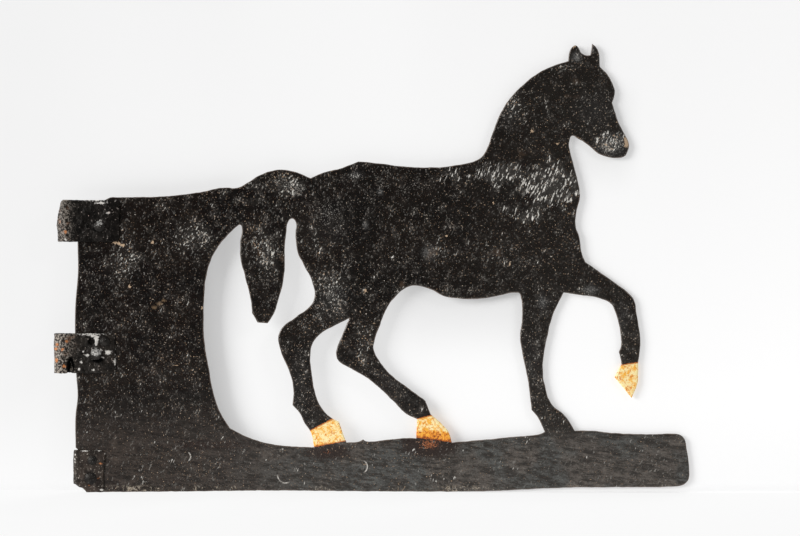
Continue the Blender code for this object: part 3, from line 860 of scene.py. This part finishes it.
# Paint of each strap: dark and light paint, bare spots and how bare they are, dark and light of the eye
STRAP_LOOKS = {
    "top_strap": (
        (0.0018, 0.0015, 0.0014), (0.0050, 0.0038, 0.0032), (0.045, 0.036, 0.030), 0.4,
        (0.008, 0.0062, 0.0052), (0.21, 0.185, 0.16),
    ),
    "middle_strap": (
        (0.0022, 0.0019, 0.0017), (0.0110, 0.0085, 0.0068), (0.14, 0.12, 0.10), 0.5,
        (0.014, 0.011, 0.0095), (0.31, 0.27, 0.23),
    ),
    "bottom_strap": (
        (0.0120, 0.0090, 0.0075), (0.046, 0.034, 0.027), (0.38, 0.34, 0.29), 0.9,
        (0.016, 0.013, 0.011), (0.10, 0.085, 0.072),
    ),
}
for name, (rough, lumps, seed) in STRAPS.items():
    strap = remeshed(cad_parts[name], name + "_iron", 0.5, 2)
    corrode(strap, rough, lumps, seed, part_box(name)[1][0] / MM)
    mark_strap(strap)
    place_piece(strap, name, strap_paint(name + "_old_paint", *STRAP_LOOKS[name]))

rivet_material = rivet_iron()
for name in sorted(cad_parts):
    if "rivet" in name:
        rivet = remeshed(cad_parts[name], name + "_head", 0.35, 3)
        corrode(rivet, 0.12, 0.45, float(len(name)))
        mark_strap(rivet)
        place_piece(rivet, name, rivet_material)


# --- stage, light and camera -------------------------------------------------------------------------------

# x and y of the board's face
BOARD = [(-420, 34.0), (0, 23.0), (138, 18.0), (405, 8.5), (500, 4.0), (600, 3.1), (1090, 3.0)]
COVE = 9.0  # radius of the curve at its foot
COVE_STEPS = 8
BOARD_FOOT = 0.05
BOARD_TOP = 860.0
FLOOR = [(-1300.0, -650.0), (1970.0, -650.0), (1970.0, 1100.0), (-1300.0, 1100.0)]
FLOOR_WHITE = 0.08
FLOOR_GLOW = 0.880
BOARD_WHITE = 0.57
BOARD_GLOW = (0.31, 0.465)  # at the left and right of the view
# Painted light: where the board is calm it reflects less and glows more, so the shadows cast on it fade
CALM_WHITE = 0.20  # left of the vane and behind its hind legs, where the photograph has next to no shadow
CALM_GLOW = 0.37
FOOT_GLOW = (0.044, -0.055)  # added at the foot of the board, to hide where the floor starts
# Painted shadows, where the board's glow is dimmer, under the belly and the jaw: the ramps at the left, at the
# right, at the foot and at the head, in metres, and how much dimmer
SOFT_SHADOWS = [
    ((0.31, 0.36), (0.475, 0.45), (0.12, 0.195), (0.30, 0.24), 0.14),
    ((0.50, 0.52), (0.58, 0.55), (0.29, 0.345), (0.42, 0.38), 0.09),
]
WORLD_SIDES = 0.4
WORLD_FRONT = 0.08
WORLD_SEEN = 0.86
MIDDLE = (0.31, 0.0, 0.22)  # of the vane, in metres


def stage_material(name, one_sided):
    """Glowing matt white. One-sided, it is clear from behind and lets light through to the back of the vane."""
    p = Paint(name)
    matt = p.add("ShaderNodeBsdfPrincipled")
    p.join(0.0, matt.inputs["Specular IOR Level"])
    p.join(1.0, matt.inputs["Roughness"])
    p.join((1.0, 1.0, 1.0), matt.inputs["Emission Color"])
    surface = matt.outputs[0]
    if one_sided:
        # painted light that fades the cast shadows in the calm areas
        behind_legs = p.math("MULTIPLY", p.step(p.axis("X"), 0.15, 0.20), p.step(p.axis("X"), 0.40, 0.30))
        calm = p.math("MULTIPLY_ADD", behind_legs, 0.7, p.step(p.axis("X"), 0.10, -0.03))
        white = p.math("MULTIPLY_ADD", calm, CALM_WHITE - BOARD_WHITE, BOARD_WHITE)
        grey = p.add("ShaderNodeCombineColor")
        for socket in grey.inputs[:3]:
            p.join(white, socket)
        p.join(grey.outputs[0], matt.inputs["Base Color"])
        glow = p.math("MULTIPLY_ADD", calm, CALM_GLOW, p.across(*BOARD_GLOW))
        glow = p.math("MULTIPLY_ADD", p.step(p.axis("Z"), 0.11, 0.0), p.across(*FOOT_GLOW), glow)
        # painted shadows: the glow is dimmer in each soft shadow's area
        for left, right, low, high, depth in SOFT_SHADOWS:
            inside = p.math("MULTIPLY", p.step(p.axis("X"), *left), p.step(p.axis("X"), *right))
            level = p.math("MULTIPLY", p.step(p.axis("Z"), *low), p.step(p.axis("Z"), *high))
            glow = p.math("MULTIPLY_ADD", p.math("MULTIPLY", inside, level), -depth, glow)
        p.join(glow, matt.inputs["Emission Strength"])
        clear = p.add("ShaderNodeBsdfTransparent")
        mix = p.add("ShaderNodeMixShader")
        behind = p.add("ShaderNodeNewGeometry").outputs["Backfacing"]
        shadow = p.add("ShaderNodeLightPath").outputs["Is Shadow Ray"]
        p.join(p.math("MAXIMUM", behind, shadow), mix.inputs[0])
        p.join(surface, mix.inputs[1])
        p.join(clear.outputs[0], mix.inputs[2])
        surface = mix.outputs[0]
    else:
        p.join((FLOOR_WHITE, FLOOR_WHITE, FLOOR_WHITE), matt.inputs["Base Color"])
        p.join(FLOOR_GLOW, matt.inputs["Emission Strength"])
    out = p.add("ShaderNodeOutputMaterial")
    p.join(surface, out.inputs["Surface"])
    return p.material


def add_floor():
    """A plain white floor."""
    mesh = bpy.data.meshes.new("floor")
    mesh.from_pydata([(x * MM, y * MM, 0.0) for x, y in FLOOR], [], [(0, 1, 2, 3)])
    floor = bpy.data.objects.new("floor", mesh)
    bpy.context.collection.objects.link(floor)
    mesh.materials.append(stage_material("floor_white", False))


def add_board():
    """A white board close behind the vane, curved forward into the floor."""
    profile = []
    for k in range(COVE_STEPS + 1):
        angle = math.radians(90.0 * k / COVE_STEPS)
        profile.append((COVE * math.sin(angle) - COVE, BOARD_FOOT + COVE * (1.0 - math.cos(angle))))
    profile.append((0.0, BOARD_TOP))
    vertices = []
    for x, y in BOARD:
        for ahead, z in profile:
            vertices.append((x * MM, (y + ahead) * MM, z * MM))
    rows = len(profile)
    faces = []
    for i in range(len(BOARD) - 1):
        for j in range(rows - 1):
            a = i * rows + j
            faces.append((a, a + rows, a + rows + 1, a + 1))
    mesh = bpy.data.meshes.new("board")
    mesh.from_pydata(vertices, [], faces)
    mesh.shade_smooth()
    board = bpy.data.objects.new("board", mesh)
    bpy.context.collection.objects.link(board)
    mesh.materials.append(stage_material("board_white", True))


def add_light(name, place, size, power):
    """A square soft box that faces the vane and that the camera doesn't see."""
    light = bpy.data.lights.new(name, "AREA")
    light.shape = "SQUARE"
    light.size = size
    light.energy = power
    lamp = bpy.data.objects.new(name, light)
    lamp.location = place
    lamp.rotation_euler = (Vector(MIDDLE) - Vector(place)).to_track_quat("-Z", "Y").to_euler()
    lamp.visible_camera = False
    bpy.context.collection.objects.link(lamp)


def light_world():
    """Light from the sides, above and below, dim in front and behind, with a pale sky for the camera."""
    world = bpy.data.worlds.new("studio")
    bpy.context.scene.world = world
    world.use_nodes = True
    tree = world.node_tree
    tree.nodes.clear()
    direction = tree.nodes.new("ShaderNodeTexCoord")
    parts = tree.nodes.new("ShaderNodeSeparateXYZ")
    tree.links.new(direction.outputs["Generated"], parts.inputs[0])
    frontal = tree.nodes.new("ShaderNodeMath")
    frontal.operation = "ABSOLUTE"
    tree.links.new(parts.outputs["Y"], frontal.inputs[0])
    glow = tree.nodes.new("ShaderNodeMapRange")
    glow.interpolation_type = "SMOOTHSTEP"
    glow.inputs["From Min"].default_value = 0.50
    glow.inputs["From Max"].default_value = 0.85
    glow.inputs["To Min"].default_value = WORLD_SIDES
    glow.inputs["To Max"].default_value = WORLD_FRONT
    tree.links.new(frontal.outputs[0], glow.inputs["Value"])
    ray = tree.nodes.new("ShaderNodeLightPath")
    strength = tree.nodes.new("ShaderNodeMapRange")
    tree.links.new(glow.outputs[0], strength.inputs["To Min"])
    strength.inputs["To Max"].default_value = WORLD_SEEN
    sky = tree.nodes.new("ShaderNodeBackground")
    sky.inputs["Color"].default_value = (1.0, 1.0, 1.0, 1.0)
    out = tree.nodes.new("ShaderNodeOutputWorld")
    tree.links.new(ray.outputs["Is Camera Ray"], strength.inputs["Value"])
    tree.links.new(strength.outputs[0], sky.inputs["Strength"])
    tree.links.new(sky.outputs[0], out.inputs["Surface"])


add_floor()
add_board()
light_world()
add_light("key", (-2.57, -1.94, 1.08), 1.7, 118.0)
add_light("kicker", (2.1, -1.6, 1.4), 0.5, 7.0)
add_light("rear", (1.1, 1.64, 1.45), 1.0, 20.0)

camera = bpy.data.cameras.new("camera")
camera.lens = 85.0
camera.sensor_width = 36.0
viewer = bpy.data.objects.new("camera", camera)
viewer.location = (0.3345, -1.8889, 0.224)
viewer.rotation_euler = (math.radians(90.0), 0.0, 0.0)
bpy.context.collection.objects.link(viewer)
bpy.context.scene.camera = viewer
bpy.context.scene.view_settings.view_transform = "Standard"
